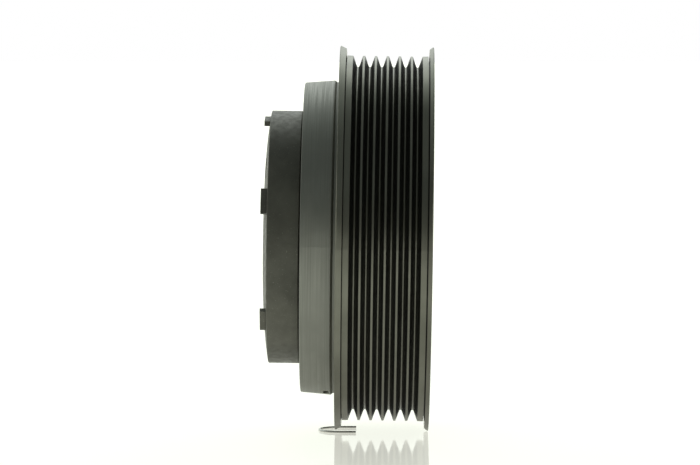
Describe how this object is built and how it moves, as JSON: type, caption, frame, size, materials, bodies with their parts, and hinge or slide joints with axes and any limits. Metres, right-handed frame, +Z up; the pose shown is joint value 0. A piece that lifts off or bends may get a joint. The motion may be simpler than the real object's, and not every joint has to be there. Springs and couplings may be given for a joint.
{
  "type": "electromagnetic clutch",
  "caption": "Compressor clutch: V-ribbed belt pulley on a double-row bearing, ring coil inside it, spring-hung armature plate and a rubber-damped splined hub.",
  "frame": {"origin": "on the shaft axis, in the middle plane of the belt grooves", "axes": "+Y along the shaft axis towards the compressor, hub at -Y, +Z up"},
  "size_m": [0.115, 0.0501, 0.1159],
  "materials": {
    "turned_steel": "satin turned steel",
    "rim_coating": "dark electrocoat, rubbed bright on crests and flanges",
    "hub_coating": "dark matte electrocoat",
    "hub_steel": "oiled sintered steel",
    "armature_steel": "ground steel",
    "coil_steel": "zinc plated pressing",
    "bearing_steel": "ground bearing steel",
    "ball_steel": "polished balls",
    "bright_steel": "bright plated steel",
    "spring_steel": "blued spring steel",
    "copper_wire": "enamelled copper wire",
    "nylon": "natural nylon",
    "potting_resin": "dark casting resin",
    "friction_lining": "friction lining",
    "black_plastic": "moulded plastic",
    "damper_rubber": "vulcanised rubber",
    "seal_rubber": "nitrile rubber"
  },
  "bodies": {
    "stator": {"bearing_inner_race": "bearing_steel", "coil_housing": "coil_steel", "coil_bobbin": "nylon", "coil_winding": "copper_wire", "coil_resin": "potting_resin", "coil_mounting_plate": "coil_steel", "locating_pin": "bright_steel", "lead_outlet": "black_plastic"},
    "pulley": {"pulley_rim": "rim_coating", "rotor": "turned_steel", "friction_ring": "friction_lining", "bearing_outer_race": "bearing_steel", "front_bearing_seal": "seal_rubber", "rear_bearing_seal": "seal_rubber", "bearing_circlip": "spring_steel"},
    "ball_set": {"front_ball_row": "ball_steel", "rear_ball_row": "ball_steel", "front_ball_cage": "nylon", "rear_ball_cage": "nylon"},
    "hub_assembly": {"hub": "hub_steel", "damper_rubber": "damper_rubber", "air_gap_shim": "spring_steel"},
    "drive": {"drive_drum": "hub_coating", "drive_plate": "hub_coating", "damper_sleeve": "hub_coating", "hub_rivets": "bright_steel", "leaf_spring_1": "spring_steel", "leaf_spring_2": "spring_steel", "leaf_spring_3": "spring_steel", "stop_pads": "damper_rubber"},
    "armature": {"armature_plate": "armature_steel", "armature_rivets": "bright_steel"},
    "clip": {"wire_clip": "bright_steel"}
  },
  "joints": [
    {"name": "pulley_spin", "type": "hinge", "parent": "stator", "child": "pulley", "pos_m": [0, 0, 0], "axis": [0, 1, 0], "continuous": true},
    {"name": "ball_set_orbit", "type": "hinge", "parent": "stator", "child": "ball_set", "pos_m": [0, 0, 0], "axis": [0, 1, 0], "continuous": true},
    {"name": "hub_spin", "type": "hinge", "parent": "stator", "child": "hub_assembly", "pos_m": [0, 0, 0], "axis": [0, 1, 0], "continuous": true},
    {"name": "damper_twist", "type": "hinge", "parent": "hub_assembly", "child": "drive", "pos_m": [0, 0, 0], "axis": [0, 1, 0], "range_deg": [-2.5, 2.5], "stiffness_Nm_per_rad": 20},
    {"name": "armature_pull", "type": "slide", "parent": "drive", "child": "armature", "axis": [0, 1, 0], "range_m": [0, 0.0004], "stiffness_N_per_m": 10000, "springref_m": -0.0002, "deforming": ["leaf_spring_1", "leaf_spring_2", "leaf_spring_3"]},
    {"name": "clip_slide", "type": "slide", "parent": "stator", "child": "clip", "axis": [0, -1, 0], "range_m": [0, 0.03]}
  ],
  "couplings": [
    {"joint": "ball_set_orbit", "follows": "pulley_spin", "ratio": 0.5611}
  ]
}
